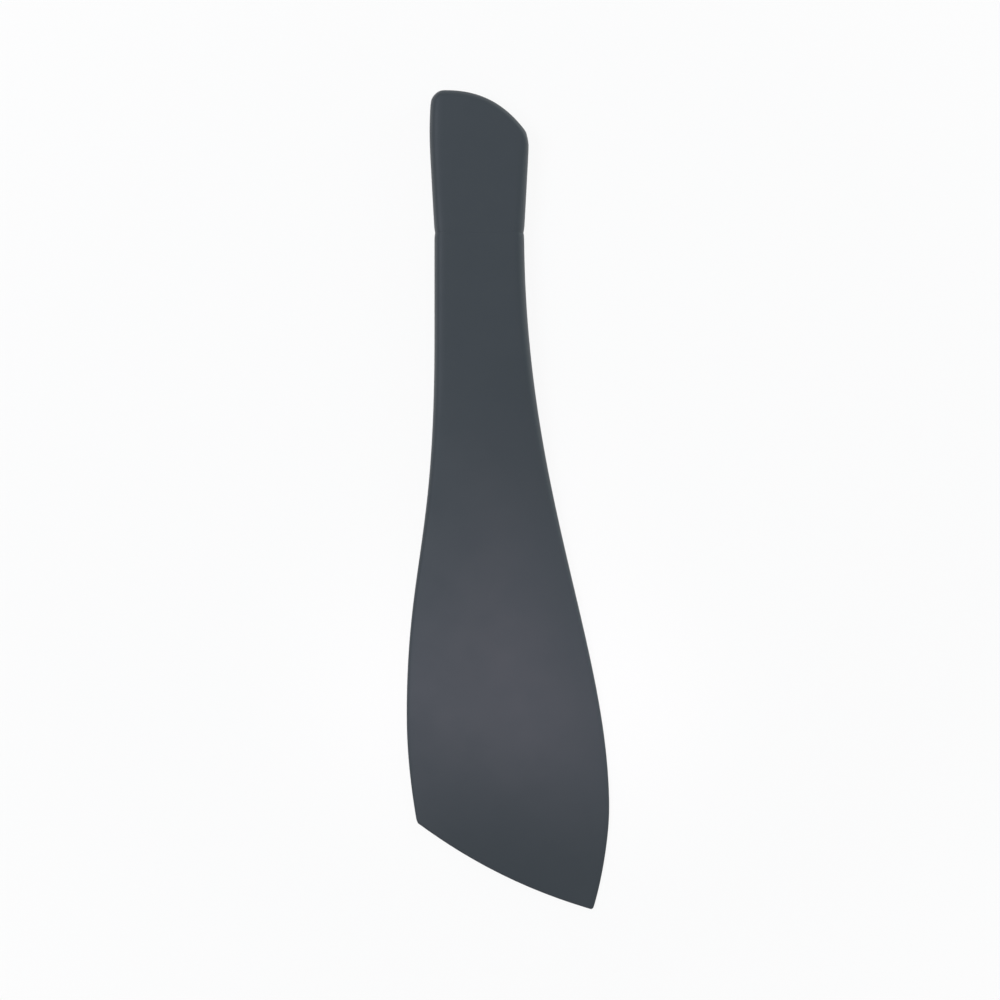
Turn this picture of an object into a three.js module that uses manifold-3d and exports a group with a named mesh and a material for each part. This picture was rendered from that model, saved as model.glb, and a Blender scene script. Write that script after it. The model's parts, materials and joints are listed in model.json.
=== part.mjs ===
// Silicone spatula: a stiff nylon core in a soft silicone body, with a silicone cap over the handle end.
// Millimetres. The tool lies on its flat back: X runs across it, +Y towards the handle end, +Z up.
import * as THREE from "three";
import { mergeVertices } from "three/addons/utils/BufferGeometryUtils.js";
import Module from "manifold-3d";

const { lerp, smoothstep, clamp, degToRad } = THREE.MathUtils;

// Plan of the tool: "along" is measured from the handle end, "across" from the centre line of the grip,
// with the heel side of the blade at the left and the toe side at the right
const OVERALL_LENGTH = 260; // handle end to the tip of the toe
const CAP_LENGTH = 45.3; // handle end to the seam
const CAP_WIDTH = 31.9; // end cap at its widest
const CAP_WIDEST_ALONG = 14; // where the end cap is widest
const CAP_CORNER_DROP = 0.4; // from the tip of the handle end to its left corner
const CAP_SLANT = 14.5; // how much further along the right corner of the handle end lies
const CAP_END_BOW = 5.5; // bulge of the handle end beyond its corners
const CAP_CORNER_RADIUS = 3.4; // rounded left corner of the handle end
const CAP_SHARP_CORNER_RADIUS = 2.2; // rounded right corner of the handle end, measured across
const GRIP_WIDTH = 28.5; // grip just below the seam
const HEEL_FLARE_ALONG = 81; // where the left edge starts to widen
const CROWN_START_ALONG = 75; // where the flat front of the grip starts to crown
const BLADE_START_ALONG = 120; // where the grip ends and the blade starts
const HEEL_REACH = 23.15; // left edge of the blade at its widest
const HEEL_REACH_TO_TIP = 61; // from that widest place to the tip of the toe
const TOE_REACH = 41.45; // right edge of the blade at its widest
const TOE_REACH_TO_TIP = 31.8; // from that widest place to the tip of the toe
const HEEL_CORNER_ACROSS = 19.9; // left end of the scraping edge
const HEEL_CORNER_TO_TIP = 27.3;
const TOE_CORNER_ACROSS = 36.2; // right end of the scraping edge
const TOE_CORNER_OVERRUN = 0.5; // how far its unrounded corner runs past the tip
const LIP_BOW = 2.9; // bulge of the scraping edge beyond its corners
const LIP_CORNER_RADIUS = 0.9; // rounded ends of the scraping edge

// Pull of the side curves' handles, which sets how gently the edges sweep out and back
const HEEL_FLARE_PULLS = [64, 48];
const TOE_FLARE_PULLS = [82, 51];
const HEEL_TAIL_PULLS = [4.2, 17];
const TOE_TAIL_PULLS = [5.3, 12.2];
const HEEL_TAIL_LEAN = 0.18; // across for each millimetre along, where the edge meets the corner
const TOE_TAIL_LEAN = 0.31;
const CAP_SIDE_PULLS = [7, 7];
const CAP_TOP_NARROWING = 0.5; // the left side of the cap leans in by this much at its very end

// Thickness, with the back flat and every taper on the front
const GRIP_THICKNESS = 9;
const FLEX_THICKNESS = 5.2; // middle of the blade, where the lip starts to bend
const LIP_THICKNESS = 1.2; // scraping edge
const HEEL_SIDE_THICKNESS = 2.8; // left edge of the blade
const TOE_SIDE_THICKNESS = 2.2; // right edge of the blade
const GRIP_EDGE_ROUND = 2; // rounded sides of the grip, measured across
const BLADE_EDGE_ROUND = 1.5;
const CAP_END_ROUND = 1.4; // rounded handle end, measured along
const LIP_EDGE_ROUND = 0.6; // rounded scraping edge
const NECK_EASE = 1.6; // how late the grip thins down towards the blade
const LIP_ROLL = 0.73; // share of the lip's taper that rolls off instead of running straight

// Seam between the end cap and the body, with a shallow nick in both sides of the tool
const SEAM_GAP = 0.3;
const SEAM_NICK_DEPTH = 0.25;
const SEAM_NICK_WIDTH = 2.4;

// Bending line of the lip
const FLEX_DEPTH = 31; // from the bending line to the chord of the scraping edge
const KNUCKLE_GAP = 0.3;

// Stiffening core
const CORE_SKIN = 1.9; // silicone over and under the core
const CORE_GRIP_MARGIN = 4; // silicone beside the core in the grip
const CORE_BLADE_MARGIN = 11; // silicone beside the core in the blade
const CORE_EDGE_ROUND = 0.8;
const CORE_TAIL_DEPTH = 23; // how far the core reaches into the end cap
const CORE_TIP_SETBACK = 13; // from the tip of the core to the bending line
const CORE_GAP = 0.3; // clearance between the core and the silicone round it
const WINDOW_DIAMETER = 8; // round windows that lock the silicone in
const BODY_WINDOWS = 6;
const CAP_WINDOWS = 1;

// Fineness of the facets
const CAP_ROWS = 5;
const GRIP_ROWS = 8;
const BLADE_ROWS = 12;
const LIP_ROWS = 6;
const EDGE_STEPS = 3;
const CROWN_STEPS = 8;
const ROUND_STEPS = 6;
const WINDOW_SIDES = 20;
const KNUCKLE_STEPS = 12;
const EDGE_SEARCHES = 40;
const END_STRIP = 0.1; // share of an end's rounding that is left as a narrow strip

const SILICONE_COLOUR = 0x43494f;
const NYLON_COLOUR = 0x2b2e31;

const wasm = await Module();
wasm.setup();

// Side edges in plan, as curves of (across, along)

/** Curve between two points with the pull of its handles along the tool, leaning in at its far end. */
function edgeCurve(from, to, pulls, lean = 0) {
  const leave = from.clone().add(new THREE.Vector2(0, pulls[0]));
  const arrive = to.clone().add(new THREE.Vector2(lean * pulls[1], -pulls[1]));
  return new THREE.CubicBezierCurve(from, leave, arrive, to);
}

/** One side of the tool, from the handle end to the scraping edge; side is -1 for heel and 1 for toe. */
function sideCurves(side, plan) {
  const at = (across, along) => new THREE.Vector2(side * across, along);
  const start = at(CAP_WIDTH / 2 - plan.narrowing, 0);
  const widest = at(CAP_WIDTH / 2, CAP_WIDEST_ALONG);
  const seam = at(GRIP_WIDTH / 2, CAP_LENGTH);
  const flare = at(GRIP_WIDTH / 2, plan.flareAlong);
  const reach = at(plan.reach, OVERALL_LENGTH - plan.reachToTip);
  const corner = at(plan.cornerAcross, OVERALL_LENGTH - plan.cornerToTip);
  return [
    edgeCurve(start, widest, CAP_SIDE_PULLS),
    new THREE.LineCurve(widest, seam),
    new THREE.LineCurve(seam, flare),
    edgeCurve(flare, reach, plan.flarePulls),
    edgeCurve(reach, corner, plan.tailPulls, side * plan.tailLean),
  ];
}

const heelSide = sideCurves(-1, {
  narrowing: CAP_TOP_NARROWING,
  flareAlong: HEEL_FLARE_ALONG,
  reach: HEEL_REACH,
  reachToTip: HEEL_REACH_TO_TIP,
  cornerAcross: HEEL_CORNER_ACROSS,
  cornerToTip: HEEL_CORNER_TO_TIP,
  flarePulls: HEEL_FLARE_PULLS,
  tailPulls: HEEL_TAIL_PULLS,
  tailLean: HEEL_TAIL_LEAN,
});

const toeSide = sideCurves(1, {
  narrowing: 0,
  flareAlong: CAP_LENGTH,
  reach: TOE_REACH,
  reachToTip: TOE_REACH_TO_TIP,
  cornerAcross: TOE_CORNER_ACROSS,
  cornerToTip: -TOE_CORNER_OVERRUN,
  flarePulls: TOE_FLARE_PULLS,
  tailPulls: TOE_TAIL_PULLS,
  tailLean: TOE_TAIL_LEAN,
});

/** Point of a side edge at a distance along the tool. */
function edgePoint(side, along) {
  const curve = side.find((piece) => along <= piece.getPoint(1).y) ?? side.at(-1);
  let low = 0;
  let high = 1;
  for (let search = 0; search < EDGE_SEARCHES; search += 1) {
    const middle = (low + high) / 2;
    if (curve.getPoint(middle).y < along) low = middle;
    else high = middle;
  }
  return new THREE.Vector2(curve.getPoint(high).x, along);
}

// Stations: lines across the tool, given by where they meet the heel side and the toe side
const lipHeel = heelSide.at(-1).getPoint(1);
const lipToe = toeSide.at(-1).getPoint(1);
const lipChord = lipToe.clone().sub(lipHeel).normalize();
const lipSlope = lipChord.y / lipChord.x;
const flexShift = FLEX_DEPTH / lipChord.x;
const flexAlongAt = (across) => lipHeel.y + (across - lipHeel.x) * lipSlope - flexShift;

const STATIONS = [
  { heel: CAP_CORNER_DROP, toe: CAP_CORNER_DROP + CAP_SLANT },
  { heel: CAP_LENGTH, toe: CAP_LENGTH },
  { heel: BLADE_START_ALONG, toe: BLADE_START_ALONG },
  { heel: flexAlongAt(-HEEL_REACH), toe: flexAlongAt(TOE_REACH) },
  { heel: lipHeel.y, toe: lipToe.y },
];
const [END, SEAM, BLADE_START, FLEX, LIP] = STATIONS.keys();

/** Mean distance between two neighbouring stations. */
function spanAfter(station) {
  const from = STATIONS[station];
  const to = STATIONS[station + 1];
  return (to.heel - from.heel + to.toe - from.toe) / 2;
}

const CROWN_START = SEAM + (CROWN_START_ALONG - CAP_LENGTH) / spanAfter(SEAM);

/** Outer section at a progress from END to LIP; the fraction runs between two stations. */
function outerSection(progress) {
  const before = clamp(Math.floor(progress), END, FLEX);
  const fraction = progress - before;
  const heelAlong = lerp(STATIONS[before].heel, STATIONS[before + 1].heel, fraction);
  const toeAlong = lerp(STATIONS[before].toe, STATIONS[before + 1].toe, fraction);
  const capShare = clamp(SEAM - progress, 0, 1);
  const lipShare = clamp(progress - FLEX, 0, 1);
  const neckShare = clamp((progress - SEAM) / (FLEX - SEAM), 0, 1);
  const bladeShare = smoothstep(progress, CROWN_START, FLEX);
  const lipTaper = lipShare * (1 - LIP_ROLL + LIP_ROLL * lipShare);

  const body = lerp(GRIP_THICKNESS, FLEX_THICKNESS, neckShare ** NECK_EASE);
  const sideTop = (thickness) => lerp(lerp(body, thickness, bladeShare), LIP_THICKNESS, lipShare);
  return {
    heel: edgePoint(heelSide, heelAlong),
    toe: edgePoint(toeSide, toeAlong),
    heelInset: 0,
    toeInset: 0,
    bow: LIP_BOW * lipShare ** 2 - CAP_END_BOW * capShare ** 2,
    base: 0,
    heelTop: sideTop(HEEL_SIDE_THICKNESS),
    toeTop: sideTop(TOE_SIDE_THICKNESS),
    crown: lerp(body, LIP_THICKNESS, lipTaper),
    round: lerp(GRIP_EDGE_ROUND, BLADE_EDGE_ROUND, bladeShare),
  };
}

/** Height of a section's front between its rounded edges; share runs from heel to toe. */
function frontHeight(section, share) {
  const rim = lerp(section.heelTop, section.toeTop, share);
  return lerp(section.crown, rim, (2 * share - 1) ** 2);
}

/** Moves a section along the tool. */
function shifted(section, distance) {
  const move = new THREE.Vector2(0, distance);
  return { ...section, heel: section.heel.clone().add(move), toe: section.toe.clone().add(move) };
}

/** Thins a section towards its mid height, as on a rounded end. */
function thinned(section, factor) {
  const middle = (section.base + section.crown) / 2;
  const thin = (height) => lerp(middle, height, factor);
  return {
    ...section,
    base: thin(section.base),
    heelTop: thin(section.heelTop),
    toeTop: thin(section.toeTop),
    crown: thin(section.crown),
    round: section.round * factor,
  };
}

/** Closed ring of a section: heel tip, front from heel to toe, toe tip, back from toe to heel. */
function ringOf(section) {
  const across = section.toe.clone().sub(section.heel);
  const outward = new THREE.Vector2(-across.y, across.x).normalize();
  const width = across.length();
  const edgeShare = section.round / (width - section.heelInset - section.toeInset);
  const place = (share, height) => {
    const chordShare = lerp(section.heelInset / width, 1 - section.toeInset / width, share);
    const bulge = section.bow * 4 * chordShare * (1 - chordShare);
    const plan = section.heel.clone().addScaledVector(across, chordShare).addScaledVector(outward, bulge);
    return new THREE.Vector3(plan.x, -plan.y, height);
  };
  const front = [];
  const back = [];
  const addPair = (share, top, swing) => {
    const middle = (section.base + top) / 2;
    const half = (top - section.base) / 2;
    front.push(place(share, middle + half * swing));
    back.unshift(place(share, middle - half * swing));
  };
  const edgeAngle = (step) => (step / EDGE_STEPS) * (Math.PI / 2);
  for (let step = 1; step < EDGE_STEPS; step += 1) {
    const angle = edgeAngle(step);
    addPair(edgeShare * (1 - Math.cos(angle)), section.heelTop, Math.sin(angle));
  }
  for (let step = 0; step <= CROWN_STEPS; step += 1) {
    const share = step / CROWN_STEPS;
    addPair(lerp(edgeShare, 1 - edgeShare, share), frontHeight(section, share), 1);
  }
  for (let step = EDGE_STEPS - 1; step > 0; step -= 1) {
    const angle = edgeAngle(step);
    addPair(1 - edgeShare * (1 - Math.cos(angle)), section.toeTop, Math.sin(angle));
  }
  const heelTip = place(0, (section.base + section.heelTop) / 2);
  const toeTip = place(1, (section.base + section.toeTop) / 2);
  return [heelTip, ...front, toeTip, ...back];
}

/** Closed skin over a row of rings, with both ends closed by strips between front and back. */
function loft(sections) {
  const rings = sections.map(ringOf);
  const size = rings[0].length;
  const index = [];
  const addQuad = (a, b, c, d) => index.push(a, c, b, a, d, c);
  for (let row = 0; row + 1 < rings.length; row += 1) {
    for (let k = 0; k < size; k += 1) {
      const next = (k + 1) % size;
      addQuad(row * size + k, row * size + next, (row + 1) * size + next, (row + 1) * size + k);
    }
  }
  const last = (rings.length - 1) * size;
  for (let k = 0; k < size / 2; k += 1) {
    const twin = (size - k) % size;
    const twinNext = size - k - 1;
    if (k > 0) {
      index.push(twin, k, k + 1);
      index.push(last + k, last + twin, last + k + 1);
    }
    if (twinNext > k + 1) {
      index.push(twin, k + 1, twinNext);
      index.push(last + k + 1, last + twin, last + twinNext);
    }
  }
  const geometry = new THREE.BufferGeometry();
  geometry.setFromPoints(rings.flat());
  geometry.setIndex(index);
  return geometry;
}

// Solids and meshes

/** Solid of a closed geometry. */
function solidOf(geometry) {
  const bare = geometry.clone();
  bare.deleteAttribute("normal");
  bare.deleteAttribute("uv");
  const merged = mergeVertices(bare);
  const vertProperties = new Float32Array(merged.attributes.position.array);
  const triVerts = new Uint32Array(merged.index.array);
  return new wasm.Manifold(new wasm.Mesh({ numProp: 3, vertProperties, triVerts }));
}

/** Named mesh of a solid. */
function meshOf(name, solid, material) {
  const { vertProperties, triVerts } = solid.getMesh();
  const geometry = new THREE.BufferGeometry();
  geometry.setAttribute("position", new THREE.BufferAttribute(new Float32Array(vertProperties), 3));
  geometry.setIndex(new THREE.BufferAttribute(new Uint32Array(triVerts), 1));
  geometry.computeVertexNormals();
  const mesh = new THREE.Mesh(geometry, material);
  mesh.name = name;
  return mesh;
}

/** Evenly spaced progress values from one station to another, both included. */
function rows(from, to, count) {
  return Array.from({ length: count + 1 }, (_, step) => lerp(from, to, step / count));
}

/** Middles of the steps between two stations. */
function middles(from, to, count) {
  return Array.from({ length: count }, (_, step) => lerp(from, to, (step + 0.5) / count));
}

// Outer form of the whole tool

/** Sections over a rounded end, from the end inwards; rising is the share of a step that runs along. */
function roundedEnd(end, { heelRadius, toeRadius, edgeRound, rising }) {
  return rows(90, 0, ROUND_STEPS).map((degrees) => {
    const angle = degToRad(degrees);
    const inwards = heelRadius * (1 - Math.sin(angle));
    const edge = clamp(inwards / edgeRound, END_STRIP, 1);
    const section = {
      ...end,
      heel: edgePoint(heelSide, end.heel.y + inwards / rising),
      toe: edgePoint(toeSide, end.toe.y + inwards / rising),
      heelInset: heelRadius * (1 - Math.cos(angle)),
      toeInset: toeRadius * (1 - Math.cos(angle)),
    };
    return thinned(section, Math.sqrt(1 - (1 - edge) ** 2));
  });
}

/** Sections round the seam, with the nick that the two mouldings leave in the sides. */
function seamSections() {
  return [-1, 0, 1].map((step) => {
    const depth = step === 0 ? SEAM_NICK_DEPTH : 0;
    const section = shifted(outerSection(SEAM), (step * SEAM_NICK_WIDTH) / 2);
    return { ...section, heelInset: depth, toeInset: depth };
  });
}

const capEnd = roundedEnd(outerSection(END), {
  heelRadius: CAP_CORNER_RADIUS,
  toeRadius: CAP_SHARP_CORNER_RADIUS,
  edgeRound: CAP_END_ROUND,
  rising: Math.cos(Math.atan2(CAP_SLANT, CAP_WIDTH)),
});
const lipEnd = roundedEnd(outerSection(LIP), {
  heelRadius: LIP_CORNER_RADIUS,
  toeRadius: LIP_CORNER_RADIUS,
  edgeRound: LIP_EDGE_ROUND,
  rising: -lipChord.x,
});

const capFrom = END + (2 * CAP_CORNER_RADIUS) / spanAfter(END);
const capTo = SEAM - SEAM_NICK_WIDTH / spanAfter(END);
const gripFrom = SEAM + SEAM_NICK_WIDTH / spanAfter(SEAM);
const lipTo = LIP - (2 * LIP_CORNER_RADIUS) / spanAfter(FLEX);
const outer = solidOf(
  loft([
    ...capEnd,
    ...rows(capFrom, capTo, CAP_ROWS).map(outerSection),
    ...seamSections(),
    ...rows(gripFrom, BLADE_START, GRIP_ROWS).map(outerSection),
    ...rows(BLADE_START, FLEX, BLADE_ROWS).slice(1).map(outerSection),
    ...rows(FLEX, lipTo, LIP_ROWS).slice(1).map(outerSection),
    ...lipEnd.reverse(),
  ]),
);

// Stiffening core

/** Section of the core, grown all round by the given amount. */
function coreSection(progress, growth) {
  const skin = outerSection(progress);
  const bladeShare = smoothstep(progress, CROWN_START, (BLADE_START + FLEX) / 2);
  const margin = lerp(CORE_GRIP_MARGIN, CORE_BLADE_MARGIN, bladeShare) - growth;
  const marginShare = margin / skin.heel.distanceTo(skin.toe);
  const depth = CORE_SKIN - growth;
  return {
    ...skin,
    heelInset: margin,
    toeInset: margin,
    base: depth,
    heelTop: frontHeight(skin, marginShare) - depth,
    toeTop: frontHeight(skin, 1 - marginShare) - depth,
    crown: skin.crown - depth,
    round: CORE_EDGE_ROUND + growth,
  };
}

const coreTail = SEAM - CORE_TAIL_DEPTH / spanAfter(END);
const coreTip = FLEX - CORE_TIP_SETBACK / spanAfter(BLADE_START);

/** Core from its tail in the end cap to its tip in the blade, without windows. */
function coreBlank(growth) {
  const tail = shifted(coreSection(coreTail, growth), -growth);
  const tip = shifted(coreSection(coreTip, growth), growth);
  const inCap = rows(coreTail, SEAM, CAP_ROWS).slice(1);
  const inGrip = rows(SEAM, BLADE_START, GRIP_ROWS).slice(1);
  const inBlade = rows(BLADE_START, coreTip, BLADE_ROWS).slice(1, -1);
  const middle = [...inCap, ...inGrip, ...inBlade].map((progress) => coreSection(progress, growth));
  return solidOf(loft([tail, ...middle, tip]));
}

/** Round bars through the core's windows, with the given clearance to their walls. */
function windowBars(clearance) {
  const places = [...middles(coreTail, SEAM, CAP_WINDOWS), ...middles(SEAM, coreTip, BODY_WINDOWS)];
  const radius = WINDOW_DIAMETER / 2 - clearance;
  return places.map((progress) => {
    const section = outerSection(progress);
    const centre = section.heel.clone().lerp(section.toe, 0.5);
    const bar = new THREE.CylinderGeometry(radius, radius, 2 * GRIP_THICKNESS, WINDOW_SIDES);
    bar.rotateX(Math.PI / 2);
    bar.translate(centre.x, -centre.y, 0);
    return solidOf(bar);
  });
}

const core = windowBars(0).reduce((blank, bar) => blank.subtract(bar), coreBlank(0));
const cavity = windowBars(CORE_GAP).reduce((room, bar) => room.subtract(bar), coreBlank(CORE_GAP));

// Cutting the outer form at the seam and along the bending line

/** Everything on the handle side of a straight cut across the tool. */
function handleSideOf(along) {
  const reach = 2 * OVERALL_LENGTH;
  const block = new THREE.BoxGeometry(reach, reach, reach);
  block.translate(0, reach / 2 - along, 0);
  return solidOf(block);
}

const flexHeel = new THREE.Vector2(-HEEL_REACH, flexAlongAt(-HEEL_REACH));
const flexToe = new THREE.Vector2(TOE_REACH, flexAlongAt(TOE_REACH));
const flexMiddle = flexHeel.clone().lerp(flexToe, 0.5);
const flexHeight = FLEX_THICKNESS / 2;
const flexAxis = new THREE.Vector3(lipChord.x, -lipChord.y, 0);
const flexPoint = new THREE.Vector3(flexMiddle.x, -flexMiddle.y, flexHeight);

/** Everything past the bending line, with a round knuckle along it; grown by the given clearance. */
function lipSideOf(clearance) {
  const reach = OVERALL_LENGTH;
  const radius = FLEX_THICKNESS / 2 + clearance;
  const outline = new THREE.Shape();
  outline.moveTo(-clearance, -reach);
  outline.lineTo(reach, -reach);
  outline.lineTo(reach, reach);
  outline.lineTo(-clearance, reach);
  const start = Math.acos(-clearance / radius);
  outline.absarc(0, 0, radius, start, 2 * Math.PI - start, false);
  const block = new THREE.ExtrudeGeometry(outline, {
    depth: 2 * reach,
    bevelEnabled: false,
    curveSegments: KNUCKLE_STEPS,
  });
  block.translate(0, 0, -reach);
  const up = new THREE.Vector3(0, 0, 1);
  const towardsLip = flexAxis.clone().cross(up);
  const sideways = towardsLip.clone().cross(up);
  block.applyMatrix4(new THREE.Matrix4().makeBasis(towardsLip, up, sideways));
  block.translate(flexPoint.x, flexPoint.y, flexPoint.z);
  return solidOf(block);
}

const endCap = outer.intersect(handleSideOf(CAP_LENGTH - SEAM_GAP / 2)).subtract(cavity);
const body = outer.subtract(handleSideOf(CAP_LENGTH + SEAM_GAP / 2));
const sleeve = body.subtract(lipSideOf(KNUCKLE_GAP)).subtract(cavity);
const lip = body.intersect(lipSideOf(0));

// The assembled tool
const silicone = new THREE.MeshStandardMaterial({ color: SILICONE_COLOUR, roughness: 0.6, metalness: 0 });
const nylon = new THREE.MeshStandardMaterial({ color: NYLON_COLOUR, roughness: 0.5, metalness: 0 });

const spatula = new THREE.Group();
spatula.name = "spatula";
spatula.add(
  meshOf("stiffening_core", core, nylon),
  meshOf("silicone_sleeve", sleeve, silicone),
  meshOf("blade_lip", lip, silicone),
  meshOf("end_cap", endCap, silicone),
);

// The origin lies on the resting plane, under the middle of the outline
const box = new THREE.Box3().setFromObject(spatula);
const middle = box.getCenter(new THREE.Vector3());
spatula.position.set(-middle.x, -middle.y, -box.min.z);
spatula.userData.lipFlex = { point: flexPoint.clone().add(spatula.position), axis: flexAxis };

export default spatula;
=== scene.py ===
# %% [markdown]
# # Dressing a silicone spatula
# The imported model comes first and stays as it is: four solids in one frame, in metres, with +Y along the
# tool towards the handle end and +Z out of its front. Every piece made here is laid on those solids, so
# nothing has to be fitted by eye.

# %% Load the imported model
import json
import math
from collections import namedtuple

import bpy
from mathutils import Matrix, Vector
from mathutils.bvhtree import BVHTree
from mathutils.kdtree import KDTree


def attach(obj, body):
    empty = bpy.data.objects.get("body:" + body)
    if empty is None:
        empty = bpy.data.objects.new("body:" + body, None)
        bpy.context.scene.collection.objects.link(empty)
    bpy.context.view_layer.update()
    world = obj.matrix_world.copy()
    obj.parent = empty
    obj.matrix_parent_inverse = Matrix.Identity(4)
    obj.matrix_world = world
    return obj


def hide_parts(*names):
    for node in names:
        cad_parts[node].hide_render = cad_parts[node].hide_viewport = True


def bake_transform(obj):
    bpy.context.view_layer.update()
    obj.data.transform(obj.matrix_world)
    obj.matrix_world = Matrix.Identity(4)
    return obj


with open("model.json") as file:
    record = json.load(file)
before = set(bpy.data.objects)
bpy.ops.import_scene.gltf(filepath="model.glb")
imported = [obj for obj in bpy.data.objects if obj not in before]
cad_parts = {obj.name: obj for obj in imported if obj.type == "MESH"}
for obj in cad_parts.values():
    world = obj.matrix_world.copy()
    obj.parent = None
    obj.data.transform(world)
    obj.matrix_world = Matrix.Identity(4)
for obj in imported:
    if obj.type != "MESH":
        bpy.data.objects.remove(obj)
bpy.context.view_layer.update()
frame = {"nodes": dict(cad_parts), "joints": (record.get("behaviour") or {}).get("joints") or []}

MM = 0.001
print("solids:", sorted(frame["nodes"]))

# %% [markdown]
# ## Reading heights off the solids
# On the bench the grip, the blade and the end cap are smooth silicone mouldings. The solids have the right
# size but are made of flat facets, which would show as bands in a soft reflection. They could be smoothed by
# a remesh, but that melts the thin scraping edge. So a clean net of quads is laid on them instead, as in
# retopology: a straight ray from above gives the front, and one from below gives the back.

# %% A search tree over the solids
SKY = 100 * MM  # the rays start this far above and below the table
DOWN = Vector((0, 0, -1))
UP = Vector((0, 0, 1))
GRIP_MIDDLE = Vector((-9, 50)) * MM


def skin_of(*names):
    """Search tree over the faces of some solids."""
    points = []
    faces = []
    for name in names:
        mesh = frame["nodes"][name].data
        first = len(points)
        points += [vertex.co.copy() for vertex in mesh.vertices]
        faces += [[first + corner for corner in face.vertices] for face in mesh.polygons]
    return BVHTree.FromPolygons(points, faces)


def heights(skin, place):
    """Back and front height of the skin at a place in plan, or None beside it."""
    front = skin.ray_cast(Vector((place.x, place.y, SKY)), DOWN)[0]
    back = skin.ray_cast(Vector((place.x, place.y, -SKY)), UP)[0]
    if front is None or back is None:
        return None
    return back.z, front.z


body_skin = skin_of("silicone_sleeve", "blade_lip")
cap_skin = skin_of("end_cap")
print("back and front of the grip in mm:", [round(z / MM, 2) for z in heights(body_skin, GRIP_MIDDLE)])

# %% [markdown]
# ## The main lines of the net
# A hand-drawn net follows the form. Here each line runs across the tool from its left edge to its right one:
# square across the grip, then turning bit by bit until it lies along the slanted scraping edge. A bow bends
# the last lines into the curve of the ends. Four lines are enough to start from, with the bending line, which
# the joint of the frame gives.

# %% Main lines and the bending line
Row = namedtuple("Row", "left right bow out", defaults=[Vector((0, 0))])
SEAM_ALONG = 84.85  # where the end cap meets the body
FLEX_REACH = 36 * MM  # from the pivot to either side, past the edges of the blade


def line(left, right, bow=0):
    """Line across the tool, from millimetres; a positive bow bulges towards the scraping edge."""
    return Row(Vector(left) * MM, Vector(right) * MM, bow * MM)


handle_end = line((-24.60, 129.75), (6.80, 115.25), bow=-5.5)
seam_line = line((-23.40, SEAM_ALONG), (5.10, SEAM_ALONG))
blade_top = line((-27.0, 10.0), (9.5, 10.0))
scraping_edge = line((-29.05, -102.55), (27.05, -130.35), bow=2.9)

joint = frame["joints"][0]
pivot = Vector(joint["pos_m"])
hinge_axis = Vector(joint["axis"])
towards_lip = hinge_axis.cross(UP)
flex_left = pivot - hinge_axis * FLEX_REACH
flex_right = pivot + hinge_axis * FLEX_REACH
flex_line = Row(flex_left.xy, flex_right.xy, 0)
print("scraping edge in mm:", round((scraping_edge.right - scraping_edge.left).length / MM, 1))

# %% [markdown]
# ## The rounded ends
# The handle end and the scraping edge are rounded where the front and the back meet the wall of the end. Even
# steps would miss most of such a corner, so the lines there follow the angle of the rounding, and each one
# turns by about as much. The outermost line lies on the wall itself, where a ray finds nothing to hit.

# %% Lines over the rounded ends
HANDLE_CORNER_ROUND = 3.4 * MM
LIP_CORNER_ROUND = 0.9 * MM
HANDLE_ANGLES = (60, 40, 20, 0)  # of the rounding, in degrees, from the outermost line inwards
LIP_ANGLES = (60, 30, 0)
TUCK = 0.15 * MM  # the outermost lines are read just inside the solid, where the rays still meet it


def shifted(row, step):
    """Line moved by a step in plan."""
    return Row(row.left + step, row.right + step, row.bow)


def moved(row, along):
    """Line moved along the tool; positive is towards the handle end."""
    return shifted(row, Vector((0, along)))


def outermost(row, outward):
    """Line of a rounded end that is read inside the solid and then moved out to its edge."""
    return shifted(row, -outward * TUCK)._replace(out=outward * TUCK)


def depths_of(rounding, angles):
    """How far inside a rounded end the lines lie that meet its corner at these angles."""
    return [rounding * (1 - math.sin(math.radians(angle))) for angle in angles]


def handle_rows():
    """Lines over the rounded handle end, from its tip inwards."""
    chord = handle_end.right - handle_end.left
    outward = Vector((-chord.y, chord.x)).normalized()
    depths = depths_of(HANDLE_CORNER_ROUND, HANDLE_ANGLES)
    inner = [moved(handle_end, -depth / outward.y) for depth in depths]
    return [outermost(handle_end, outward)] + inner


def lip_rows():
    """Lines over the rounded corners of the scraping edge, from the edge inwards."""
    outward = towards_lip.xy
    depths = depths_of(LIP_CORNER_ROUND, LIP_ANGLES)
    inner = [shifted(scraping_edge, -outward * depth) for depth in depths]
    return [outermost(scraping_edge, outward)] + inner


print("lines: handle end", len(handle_rows()), "scraping edge", len(lip_rows()))

# %% [markdown]
# ## Where the other lines go
# The joint cuts the solids along the bending line, and the two mouldings stop just short of each other at
# the seam. The real blade has no cut there, so no line of the net falls into either gap. Two more lines stand
# on each side of the seam, to hold the small nick that it leaves in the edges of the tool. All the others are
# spread evenly between the main lines.

# %% Rows of the cap and of the body
CAP_LINES = 6
GRIP_LINES = 9
BLADE_LINES = 12
LIP_LINES = 6
SEAM_SIDE = 0.16 * MM  # from the seam to just inside a solid
NICK = 1.2 * MM  # half the width of the nick in both sides
KNUCKLE_ABOVE = 4.5 * MM  # lines keep this clear of the bending line, on the side of the handle
KNUCKLE_BELOW = 1.0 * MM  # and on the side of the lip


def between(first, last, share):
    """Line at a share of the way from one line to another."""
    bow = first.bow + (last.bow - first.bow) * share
    return Row(first.left.lerp(last.left, share), first.right.lerp(last.right, share), bow)


def spread(first, last, count):
    """Evenly spread lines from the first to the last, without the first."""
    return [between(first, last, step / count) for step in range(1, count + 1)]


cap_rows = handle_rows()
cap_rows += spread(cap_rows[-1], moved(seam_line, 2 * NICK), CAP_LINES)
cap_rows += [moved(seam_line, NICK), moved(seam_line, SEAM_SIDE)]

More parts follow.
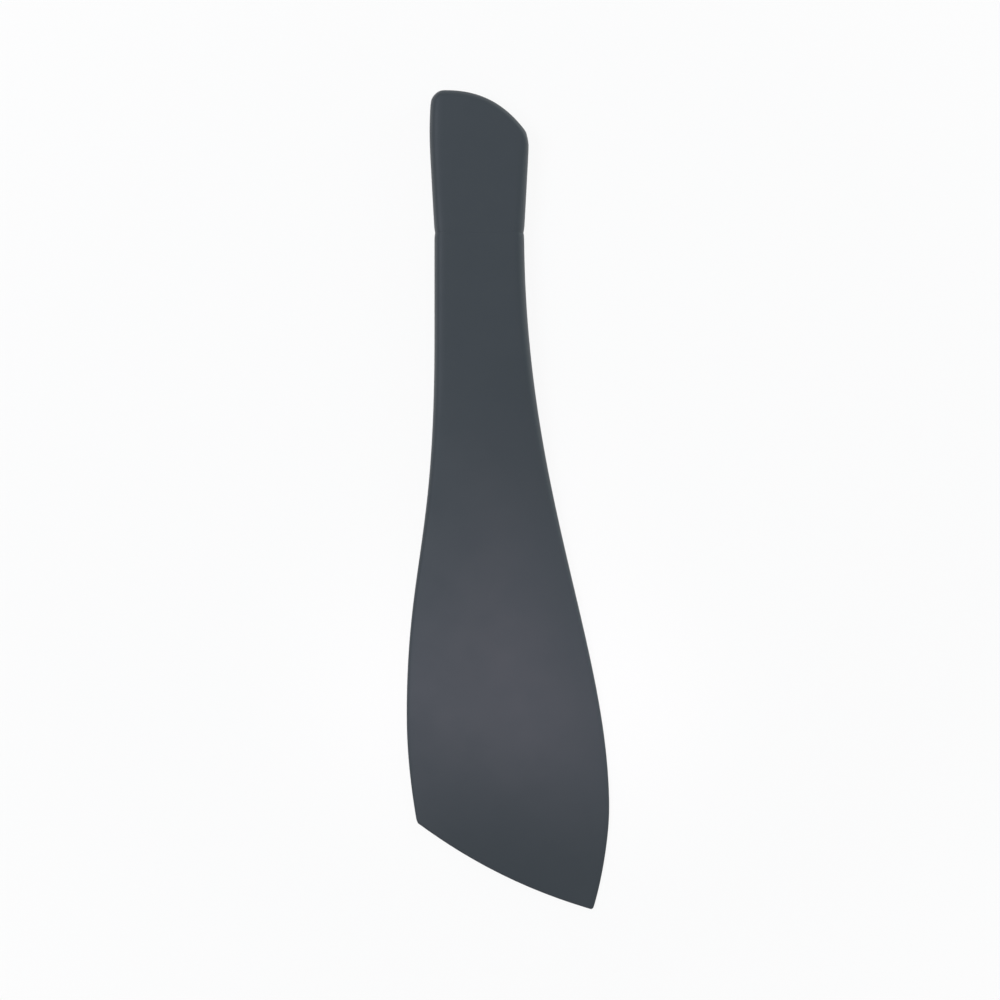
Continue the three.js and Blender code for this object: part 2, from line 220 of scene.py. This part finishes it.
above_flex = shifted(flex_line, -towards_lip.xy * KNUCKLE_ABOVE)
below_flex = shifted(flex_line, towards_lip.xy * KNUCKLE_BELOW)
lip_end = lip_rows()[::-1]
body_rows = [moved(seam_line, -step) for step in (SEAM_SIDE, NICK, 2 * NICK)]
body_rows += spread(body_rows[-1], blade_top, GRIP_LINES)
body_rows += spread(blade_top, above_flex, BLADE_LINES)
body_rows += [below_flex]
body_rows += spread(below_flex, lip_end[0], LIP_LINES)
body_rows += lip_end[1:]
print("lines: cap", len(cap_rows), "body", len(body_rows))

# %% [markdown]
# ## The edges of a line
# The outline of the tool is a row of free curves. It could be traced a second time, but then the two outlines
# would drift apart when a size changes. So it is found on the solids, by halving: a place on the line where
# a ray meets the solid and one where it misses it close in on the edge.

# %% Edges of a line
SEARCHES = 40
MIDDLE = 0.5  # share of a line at which it always lies on the solid
OUTSIDE = 0.25  # how far beyond the ends of a line its edge is looked for, as a share of it


def place_on(row, share):
    """Point of a line in plan; share runs from its left end to its right one."""
    chord = row.right - row.left
    outward = Vector((chord.y, -chord.x)).normalized()
    return row.left + chord * share + outward * (row.bow * 4 * share * (1 - share))


def rim_share(skin, row, outside):
    """Share at which a line leaves the solid on one side."""
    inside = MIDDLE
    for _ in range(SEARCHES):
        middle = (inside + outside) / 2
        if heights(skin, place_on(row, middle)):
            inside = middle
        else:
            outside = middle
    return inside


def rim_shares(skin, row):
    """Shares at which a line leaves the solid on the left and on the right."""
    return rim_share(skin, row, -OUTSIDE), rim_share(skin, row, 1 + OUTSIDE)


left_edge, right_edge = [place_on(blade_top, share) for share in rim_shares(body_skin, blade_top)]
print("width at the top of the blade in mm:", round((right_edge - left_edge).length / MM, 2))

# %% [markdown]
# ## Knots on a line
# The long edges of the grip and of the blade are rounded too, so the knots near an edge sit at equal angles
# of that rounding. The rest share the middle, where the front is a slow crown. Each line has the same number
# of knots, so that the net stays a plain grid from end to end.

# %% Knots along one line
EDGE_ANGLES = [math.radians(angle) for angle in (30, 60, 90)]
GRIP_EDGE_ROUND = 2 * MM
BLADE_EDGE_ROUND = 1.5 * MM
CROWN_TOP = 55 * MM  # along the tool, where the flat front of the grip starts to crown
CROWN_KNOTS = 9  # knots over the middle of a line, between the rounded edges
COLUMNS = 2 * len(EDGE_ANGLES) + CROWN_KNOTS

Knots = namedtuple("Knots", "front back left_rim right_rim")


def edge_round(row):
    """Width of the rounded edge at a line, which narrows from the grip to the bending line."""
    along = (row.left.y + row.right.y) / 2
    share = (CROWN_TOP - along) / (CROWN_TOP - pivot.y)
    share = min(max(share, 0), 1)
    ease = share * share * (3 - 2 * share)
    return GRIP_EDGE_ROUND + (BLADE_EDGE_ROUND - GRIP_EDGE_ROUND) * ease


def knot_shares(row, left, right):
    """Shares of the knots on a line that runs between two edges."""
    edge = edge_round(row) / (row.right - row.left).length
    insets = [edge * (1 - math.cos(angle)) for angle in EDGE_ANGLES]
    first = left + edge
    last = right - edge
    crown = [first + (last - first) * step / (CROWN_KNOTS + 1) for step in range(1, CROWN_KNOTS + 1)]
    return [left + inset for inset in insets] + crown + [right - inset for inset in reversed(insets)]


def knots_on(skin, row):
    """Knots of the front and the back on one line, with the two points of the rim beside them."""
    left, right = rim_shares(skin, row)
    front = []
    back = []
    for share in knot_shares(row, left, right):
        place = place_on(row, share)
        low, high = heights(skin, place)
        place += row.out
        front.append(Vector((place.x, place.y, high)))
        back.append(Vector((place.x, place.y, low)))
    return Knots(front, back, place_on(row, left) + row.out, place_on(row, right) + row.out)


cap_knots = [knots_on(cap_skin, row) for row in cap_rows]
body_knots = [knots_on(body_skin, row) for row in body_rows]
print("knots on a line:", COLUMNS)

# %% [markdown]
# ## A net for each moulding
# The two silicone shots are separate mouldings, so each gets its own net. A grid is the natural start: it has
# as many lines and columns as there are knots, and each of its corners moves to its knot on the front.

# %% Nets on the front
def laid_net(name, knots):
    """Grid with each corner on its knot of the front."""
    bpy.ops.object.select_all(action="DESELECT")
    bpy.ops.mesh.primitive_grid_add(x_subdivisions=COLUMNS - 1, y_subdivisions=len(knots) - 1)
    net = bpy.context.object
    net.name = name
    places = [knot for line_knots in knots for knot in line_knots.front]
    net.data.vertices.foreach_set("co", [number for place in places for number in place])
    return net


body = laid_net("moulded_body", body_knots)
cap = laid_net("moulded_end_cap", cap_knots)
print("corners on the front: body", len(body.data.vertices), "cap", len(cap.data.vertices))

# %% [markdown]
# ## Closing the back
# A Solidify modifier would give the net one even thickness, but the tool goes from 9 mm at the grip to 1.2 mm
# at the scraping edge. So the net is duplicated, the copy goes to the knots of the back, and bridging the two
# open borders closes the form all round.

# %% Backs and bridges
BRIDGE_CUTS = 3


def only(obj):
    """Makes one object the only selected and the active one."""
    bpy.ops.object.select_all(action="DESELECT")
    obj.select_set(True)
    bpy.context.view_layer.objects.active = obj


def close_back(net, knots):
    """Duplicates the net, lays the copy on the back and bridges the two borders."""
    only(net)
    count = len(net.data.vertices)
    bpy.ops.object.mode_set(mode="EDIT")
    bpy.ops.mesh.select_all(action="SELECT")
    bpy.ops.mesh.duplicate()
    bpy.ops.object.mode_set(mode="OBJECT")
    places = [knot for line_knots in knots for knot in line_knots.back]
    for vertex, place in zip(net.data.vertices[count:], places):
        vertex.co = place
    bpy.ops.object.mode_set(mode="EDIT")
    bpy.ops.mesh.select_mode(type="EDGE")
    bpy.ops.mesh.select_all(action="DESELECT")
    bpy.ops.mesh.select_non_manifold()
    bpy.ops.mesh.bridge_edge_loops(number_cuts=BRIDGE_CUTS, interpolation="LINEAR")
    bpy.ops.object.mode_set(mode="OBJECT")


close_back(body, body_knots)
close_back(cap, cap_knots)
print("corners with the back: body", len(body.data.vertices), "cap", len(cap.data.vertices))

# %% [markdown]
# ## The rim
# The two halves of the mould meet along the long edges, and on the real thing a fine parting line runs there.
# The three cuts of the bridge become that line: they move out to the edge of the solid, close together, so
# that the smoothed skin keeps a narrow flat between its two roundings.

# %% Rim with its parting line
PARTING_HALF = 0.16 * MM  # half the width of the parting line
SAME_PLACE = 0.001 * MM


def set_rim(net, knots):
    """Moves the cuts of the bridge out to the rim, along both sides of the net."""
    sides = []
    for line_knots in knots:
        sides.append((line_knots.front[0], line_knots.back[0], line_knots.left_rim))
        sides.append((line_knots.front[-1], line_knots.back[-1], line_knots.right_rim))
    nearest = KDTree(len(sides))
    for index, (front, _, _) in enumerate(sides):
        nearest.insert((front.x, front.y, 0), index)
    nearest.balance()
    cuts = net.data.vertices[2 * COLUMNS * len(knots):]
    for vertex in cuts:
        _, index, distance = nearest.find((vertex.co.x, vertex.co.y, 0))
        if distance > SAME_PLACE:
            continue
        front, back, rim = sides[index]
        middle = (front.z + back.z) / 2
        step = (front.z - back.z) / (BRIDGE_CUTS + 1)
        rise = (vertex.co.z - middle) / step
        vertex.co = (rim.x, rim.y, middle + rise * min(PARTING_HALF, step))


set_rim(body, body_knots)
set_rim(cap, cap_knots)
across = [vertex.co.x for vertex in body.data.vertices]
print("width of the body in mm:", round((max(across) - min(across)) / MM, 2))

# %% [markdown]
# ## The seam
# Where the end cap meets the body, both mouldings end in a flat wall with a hard edge. Smoothing would round
# that edge and open the seam, so the outline of each wall is creased first. Both walls also move up to the
# seam, where the two mouldings touch on the real thing.

# %% Seam walls
SEAM = SEAM_ALONG * MM
SEAM_GAP_HALF = 0.005 * MM
FLAT = 0.99  # a face of the wall looks this much along the tool


def select_seam_wall(obj, side):
    """Turns all faces outwards, selects the flat seam wall and returns its corners."""
    bpy.ops.object.mode_set(mode="EDIT")
    bpy.ops.mesh.select_mode(type="FACE")
    bpy.ops.mesh.select_all(action="SELECT")
    bpy.ops.mesh.normals_make_consistent(inside=False)
    bpy.ops.mesh.select_all(action="DESELECT")
    bpy.ops.object.mode_set(mode="OBJECT")
    corners = set()
    for face in obj.data.polygons:
        face.select = face.normal.y * side > FLAT and abs(face.center.y - SEAM) < NICK / 2
        if face.select:
            corners.update(face.vertices)
    return corners


def crease_seam_wall(obj, side):
    """Moves the seam wall up to the seam and creases its outline; side is 1 where it looks along +Y."""
    only(obj)
    for corner in select_seam_wall(obj, side):
        obj.data.vertices[corner].co.y = SEAM - side * SEAM_GAP_HALF
    bpy.ops.object.mode_set(mode="EDIT")
    bpy.ops.mesh.region_to_loop()
    bpy.ops.transform.edge_crease(value=1)
    bpy.ops.object.mode_set(mode="OBJECT")


crease_seam_wall(body, side=1)
crease_seam_wall(cap, side=-1)
print("seam at", SEAM_ALONG, "mm, open by", round(2 * SEAM_GAP_HALF / MM, 3), "mm")

# %% [markdown]
# ## Smoothing the skin
# The net only has to be subdivided now: Catmull-Clark rounds it into one even surface, as a moulding has it.
# Smooth shading alone would leave the coarse outline of the net, so the levels are applied to the mesh.

# %% Subdivision
SMOOTH_LEVELS = 2
HARD = math.radians(40)

for piece in (body, cap):
    only(piece)
    subdivision = piece.modifiers.new("smooth skin", "SUBSURF")
    subdivision.levels = SMOOTH_LEVELS
    subdivision.render_levels = SMOOTH_LEVELS
    bpy.ops.object.modifier_apply(modifier=subdivision.name)
    bpy.ops.object.shade_smooth_by_angle(angle=HARD)
print("faces: body", len(body.data.polygons), "cap", len(cap.data.polygons))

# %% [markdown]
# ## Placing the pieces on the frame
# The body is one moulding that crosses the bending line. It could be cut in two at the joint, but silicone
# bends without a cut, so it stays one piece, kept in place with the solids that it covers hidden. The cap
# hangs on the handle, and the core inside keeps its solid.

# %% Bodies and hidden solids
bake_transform(body)
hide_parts("silicone_sleeve", "blade_lip")
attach(cap, "handle")
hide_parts("end_cap")

# %% [markdown]
# ## Colours and nodes
# Colours are written as the sRGB codes that a colour picker shows, but shaders count in linear light, so one
# function converts them. A material is a tree of nodes. Adding each node, setting it and wiring it by hand
# takes many lines, so another function does the three for any node.

# %% Colours and nodes
MIDDLE_GREY = "#808080"


def linear(code):
    """Linear colour of an sRGB hex code."""
    channels = [int(code[start:start + 2], 16) / 255 for start in (1, 3, 5)]
    return [c / 12.92 if c <= 0.04045 else ((c + 0.055) / 1.055) ** 2.4 for c in channels] + [1.0]


def add_node(tree, kind, inputs=None, **settings):
    """Adds a node with its settings; an input takes a value, an output, or a node for its first output."""
    made = tree.nodes.new(kind)
    for name, value in settings.items():
        setattr(made, name, value)
    for name, value in (inputs or {}).items():
        if isinstance(value, bpy.types.Node):
            value = value.outputs[0]
        if isinstance(value, bpy.types.NodeSocket):
            tree.links.new(value, made.inputs[name])
        else:
            made.inputs[name].default_value = value
    return made


def bare_material(name):
    """Material without any nodes, and its empty node tree."""
    material = bpy.data.materials.new(name)
    material.use_nodes = True
    material.node_tree.nodes.clear()
    return material, material.node_tree


print("middle grey in linear light:", [round(channel, 3) for channel in linear(MIDDLE_GREY)])

# %% [markdown]
# ## The silicone
# Silicone is a soft rubber with the colour mixed right through it. It leaves a spark-eroded mould, whose fine
# grain turns every reflection into a broad, dull sheen. A plain grey would look like a clay model, so three
# patterns are laid over each other: slow clouds in the pigment, patches where hands have polished the skin,
# and the grain itself as a bump. They lie in the frame of the tool, so they run on across the seam.

# %% Matt moulded silicone
SLATE_DARK = "#333A3F"
SLATE_LIGHT = "#373E44"
SILICONE_IOR = 1.41
SILICONE_ROUGHNESS = {"To Min": 0.52, "To Max": 0.58}
NOISE_SPAN = {"From Min": 0.3, "From Max": 0.7}  # nearly all of a noise pattern lies between these
PIGMENT_CLOUD = {"Scale": 1 / (35 * MM), "Detail": 3}
HANDLED_PATCH = {"Scale": 1 / (9 * MM), "Detail": 4}
# The real grain is nearer 0.1 mm, which is too fine for the picture, so it is drawn coarser.
MOULD_GRAIN = {"Scale": 1 / (0.5 * MM), "Detail": 2}
GRAIN_RELIEF = {"Distance": 0.02 * MM, "Strength": 0.3}

# Dark slate with a dull, even sheen: the eye reads a soft rubber and not a painted board.
silicone, tree = bare_material("matt moulded silicone")
place = add_node(tree, "ShaderNodeTexCoord").outputs["Object"]
pigment = add_node(tree, "ShaderNodeTexNoise", {"Vector": place, **PIGMENT_CLOUD})
handled = add_node(tree, "ShaderNodeTexNoise", {"Vector": place, **HANDLED_PATCH})
grain = add_node(tree, "ShaderNodeTexNoise", {"Vector": place, **MOULD_GRAIN})
shades = {"Factor": pigment, "A": linear(SLATE_DARK), "B": linear(SLATE_LIGHT)}
colour = add_node(tree, "ShaderNodeMix", shades, data_type="RGBA").outputs["Result"]
dull = add_node(tree, "ShaderNodeMapRange", {"Value": handled, **NOISE_SPAN, **SILICONE_ROUGHNESS})
relief = add_node(tree, "ShaderNodeBump", {"Height": grain, **GRAIN_RELIEF})
finish = {"Base Color": colour, "Roughness": dull, "IOR": SILICONE_IOR, "Normal": relief}
rubber = add_node(tree, "ShaderNodeBsdfPrincipled", finish)
add_node(tree, "ShaderNodeOutputMaterial", {"Surface": rubber})
for piece in (body, cap):
    piece.data.materials.clear()
    piece.data.materials.append(silicone)
print("finish:", silicone.name, "on", body.name, "and", cap.name)

# %% [markdown]
# ## The nylon core
# The core is hidden in the finished tool, but anyone who hides the skin sees it. Glass-filled nylon comes out
# of the mould almost black, with short fibres lying along the flow. Noise that is stretched along the tool
# gives that streaky satin look. The core keeps its solid, so the finish goes into the slot it already has.

# %% Glass-filled nylon
NYLON_DARK = "#26292B"
NYLON_LIGHT = "#34373A"
NYLON_IOR = 1.53
NYLON_ROUGHNESS = {"To Min": 0.38, "To Max": 0.52}
FIBRES = {"Scale": 1 / (3 * MM), "Detail": 4}
FIBRE_STRETCH = (8, 1, 8)  # how much closer the streaks lie across the tool than along it
FIBRE_RELIEF = {"Distance": 0.02 * MM, "Strength": 0.4}

# Near black, with fine pale streaks along the flow and a satin gloss.
nylon, tree = bare_material("glass-filled nylon")
place = add_node(tree, "ShaderNodeTexCoord").outputs["Object"]
flow = add_node(tree, "ShaderNodeMapping", {"Vector": place, "Scale": FIBRE_STRETCH})
fibres = add_node(tree, "ShaderNodeTexNoise", {"Vector": flow, **FIBRES})
shades = {"Factor": fibres, "A": linear(NYLON_DARK), "B": linear(NYLON_LIGHT)}
colour = add_node(tree, "ShaderNodeMix", shades, data_type="RGBA").outputs["Result"]
satin = add_node(tree, "ShaderNodeMapRange", {"Value": fibres, **NOISE_SPAN, **NYLON_ROUGHNESS})
relief = add_node(tree, "ShaderNodeBump", {"Height": fibres, **FIBRE_RELIEF})
finish = {"Base Color": colour, "Roughness": satin, "IOR": NYLON_IOR, "Normal": relief}
blank = add_node(tree, "ShaderNodeBsdfPrincipled", finish)
add_node(tree, "ShaderNodeOutputMaterial", {"Surface": blank})
core = frame["nodes"]["stiffening_core"]
for slot in core.material_slots:
    slot.material = nylon
print("finish:", nylon.name, "in", len(core.material_slots), "slot of", core.name)

# %% [markdown]
# ## The camera
# The photo looks straight down on the tool from far off: neither the sides of the grip nor the seam wall can
# be seen. A long lens gives the same calm view, and the distance follows from the width of the picture.

# %% Camera
FRAME_CENTRE = (-2.58 * MM, 0.05 * MM)
FRAME_WIDTH = 317.92 * MM
SHARP_HEIGHT = 2.5 * MM  # height over the floor at which the picture has that width
LENS = 200  # in millimetres, as the sensor is
SENSOR = 36
camera_data = bpy.data.cameras.new("camera")
camera_data.lens = LENS
camera_data.sensor_width = SENSOR
camera = bpy.data.objects.new("camera", camera_data)
camera.location = (*FRAME_CENTRE, SHARP_HEIGHT + FRAME_WIDTH * LENS / SENSOR)
bpy.context.scene.collection.objects.link(camera)
bpy.context.scene.camera = camera
print("camera height in mm:", round(camera.location.z / MM, 1))

# %% [markdown]
# ## Floor and background
# The tool lies on a white table that runs out into a white background. A table that is lit as the tool is
# would come out grey, and more light would bleach the tool. So the camera looks through most of the table
# into a white world, as reflections do, and the rest of it keeps the soft shadow under the tool. For the
# light that it throws back up, the table is solid. It stops no lamp, it is clear from below, and the short
# rays that leave the back of the tool go through it too, so that the back isn't black.

# %% Table
TABLE_SIZE = 4  # in metres
TABLE_DROP = 0.1 * MM

bpy.context.scene.view_settings.view_transform = "Standard"
bpy.ops.object.select_all(action="DESELECT")
bpy.ops.mesh.primitive_plane_add(size=TABLE_SIZE, location=(0, 0, -TABLE_DROP))
table = bpy.context.object
table.name = "table"
print("stage:", table.name, "with its top at", round(-TABLE_DROP / MM, 2), "mm")

# %% White table card
CLEAR_NEAR = 0.92  # share of the table that the camera looks through, next to the tool
SHADOW_REACH = {"From Min": 0.15, "From Max": 0.4}  # metres from the middle, where the rest of it fades out
SHORT_RAY = 1 * MM
CARD_WHITE = "#F8F8F8"


def looking_rays(tree, ray):
    """Value that is 1 for the rays that look at the background: straight, off a gloss or through glass."""
    looking = ray["Is Camera Ray"]
    for kind in ("Is Glossy Ray", "Is Transmission Ray"):
        looking = add_node(tree, "ShaderNodeMath", {0: looking, 1: ray[kind]}, operation="MAXIMUM")
    return looking


# Matt white card, of which the eye sees little more than the shadow on it.
card, tree = bare_material("white table card")
ray = add_node(tree, "ShaderNodeLightPath").outputs
facing = add_node(tree, "ShaderNodeNewGeometry").outputs
place = add_node(tree, "ShaderNodeTexCoord").outputs["Object"]
far = add_node(tree, "ShaderNodeVectorMath", {0: place}, operation="LENGTH").outputs["Value"]
fade = add_node(tree, "ShaderNodeMapRange", {"Value": far, **SHADOW_REACH, "To Min": CLEAR_NEAR, "To Max": 1})
thin = add_node(tree, "ShaderNodeMath", {0: fade, 1: facing["Backfacing"]}, operation="MAXIMUM")
seen = add_node(tree, "ShaderNodeMath", {0: thin, 1: looking_rays(tree, ray)}, operation="MULTIPLY")
short = add_node(tree, "ShaderNodeMath", {0: ray["Ray Length"], 1: SHORT_RAY}, operation="LESS_THAN")
passing = add_node(tree, "ShaderNodeMath", {0: ray["Is Shadow Ray"], 1: short}, operation="MAXIMUM")
share = add_node(tree, "ShaderNodeMath", {0: seen, 1: passing}, operation="MAXIMUM")
white = add_node(tree, "ShaderNodeBsdfDiffuse", {"Color": linear(CARD_WHITE)})
clear = add_node(tree, "ShaderNodeBsdfTransparent")
mix = add_node(tree, "ShaderNodeMixShader", {0: share, 1: white, 2: clear})
add_node(tree, "ShaderNodeOutputMaterial", {"Surface": mix})
table.data.materials.append(card)
print("finish:", card.name, "with", len(tree.nodes), "nodes on", table.name)

# %% [markdown]
# ## The white tent
# The photo has hardly any shadow and no highlight with an edge: the tool was lit through white cloth. The
# world is that cloth. It is full white for the rays that see it as a background or a reflection, and dimmer
# as a lamp, so that the lamps still shape the form.

# %% White tent
TENT_WHITE = "#FFFFFF"
TENT_LIGHT = 0.35

world = bpy.data.worlds.new("white tent")
world.use_nodes = True
bpy.context.scene.world = world
tree = world.node_tree
tree.nodes.clear()
ray = add_node(tree, "ShaderNodeLightPath").outputs
levels = {"Value": looking_rays(tree, ray), "To Min": TENT_LIGHT, "To Max": 1}
strength = add_node(tree, "ShaderNodeMapRange", levels)
cloth = add_node(tree, "ShaderNodeBackground", {"Color": linear(TENT_WHITE), "Strength": strength})
add_node(tree, "ShaderNodeOutputWorld", {"Surface": cloth})
print("world:", world.name, "with", TENT_LIGHT, "of its white as light")

# %% [markdown]
# ## Softboxes
# In the photo the blade is lighter than the grip, with a light patch on either side, and the lip falls off
# into the dark. The lip slopes away from the handle end, so both softboxes stand on the handle's side: one
# high up, which draws no bright line along the edges, and one low down, which only grazes the tool. Slight
# tints follow the photo too.

# %% Softboxes
LAMP_DISTANCE = 1.1
SOFTBOX_SIZE = 0.5
TABLE_MIDDLE = Vector((0, 0, 0))


def add_lamp(name, kind, place, aim, power, colour):
    """Lamp at a place that looks at a point; the camera doesn't see the lamp itself."""
    lamp = bpy.data.lights.new(name, kind)
    lamp.energy = power
    lamp.color = linear(colour)[:3]
    holder = bpy.data.objects.new(name, lamp)
    holder.location = place
    holder.rotation_euler = (aim - place).to_track_quat("-Z", "Y").to_euler()
    holder.visible_camera = False
    bpy.context.scene.collection.objects.link(holder)
    return lamp


def softbox(name, azimuth, elevation, power, colour):
    """Large lamp beside the tool; the azimuth runs clockwise from the handle end, as the camera sees it."""
    turn = math.radians(azimuth)
    rise = math.radians(elevation)
    level = Vector((math.sin(turn), math.cos(turn), 0)) * math.cos(rise)
    place = (level + UP * math.sin(rise)) * LAMP_DISTANCE
    lamp = add_lamp(name, "AREA", place, TABLE_MIDDLE, power, colour)
    lamp.size = SOFTBOX_SIZE


softbox("left softbox", azimuth=292, elevation=55, power=4.9, colour="#E4ECFA")
softbox("right softbox", azimuth=60, elevation=12, power=4.0, colour="#EEFDFF")
print("softboxes:", [lamp.name for lamp in bpy.data.lights])

# %% [markdown]
# ## Spots over the blade
# Softboxes alone light the blade and the grip alike. Three spots with soft rims hang over the blade and lift
# it out: one on its heel side, one on its toe side, and one over the throat, where the grip widens into it.

# %% Spots
SPOT_HEIGHT = 0.5
SPOT_RADIUS = 0.03
SPOT_SOFTNESS = 1  # the light fades from the middle of the cone to its rim
SPOT_COLOUR = "#FFE6F3"


def spot(name, across, along, cone, power):
    """Small lamp that looks straight down on a place given in millimetres."""
    aim = Vector((across, along, 0)) * MM
    lamp = add_lamp(name, "SPOT", aim + UP * SPOT_HEIGHT, aim, power, SPOT_COLOUR)
    lamp.shadow_soft_size = SPOT_RADIUS
    lamp.spot_size = math.radians(cone)
    lamp.spot_blend = SPOT_SOFTNESS


spot("heel spot", across=-30, along=-60, cone=10, power=3.4)
spot("toe spot", across=30, along=-65, cone=10, power=3.9)
spot("throat spot", across=10, along=-15, cone=8, power=2.2)
print("lamps:", [lamp.name for lamp in bpy.data.lights])
